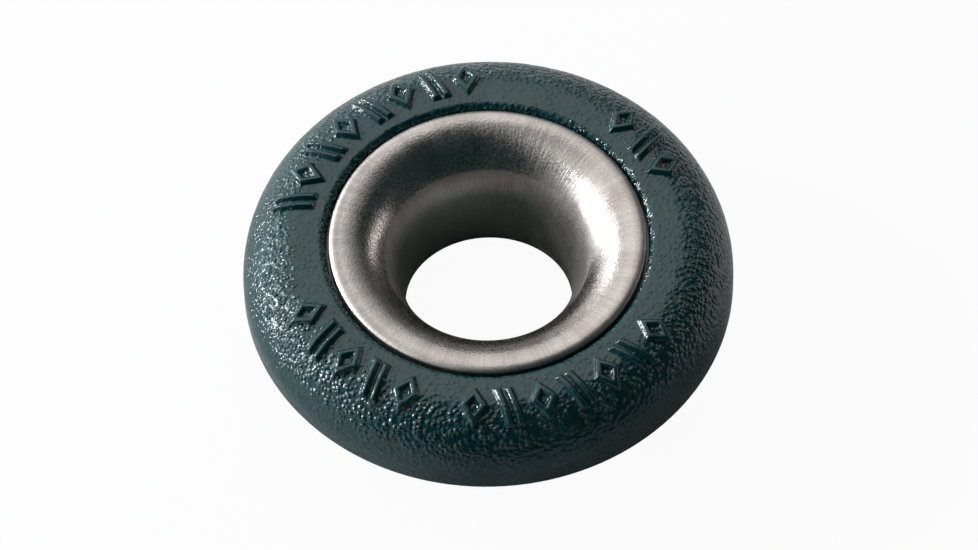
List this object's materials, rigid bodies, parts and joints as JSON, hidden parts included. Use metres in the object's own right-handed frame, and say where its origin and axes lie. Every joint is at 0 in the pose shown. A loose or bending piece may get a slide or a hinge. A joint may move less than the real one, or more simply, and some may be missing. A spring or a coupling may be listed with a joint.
{
  "type": "glue-in rope bush",
  "caption": "Round glue-in deck bush for a rope: a domed nylon flange over a short spigot, lined by a flared stainless mouth.",
  "frame": {"origin": "on the bore's axis, in the plane where the flange sits on the deck", "axes": "+Z along the bore, out of the deck; the part is round, so X and Y are free"},
  "size_m": [0.038, 0.038, 0.0113],
  "materials": {
    "nylon": "moulded, fine spark-eroded grain",
    "stainless": "satin, fine brush lines up the flare"
  },
  "bodies": {
    "root": {"bush_body": "nylon", "steel_liner": "stainless"}
  },
  "joints": []
}
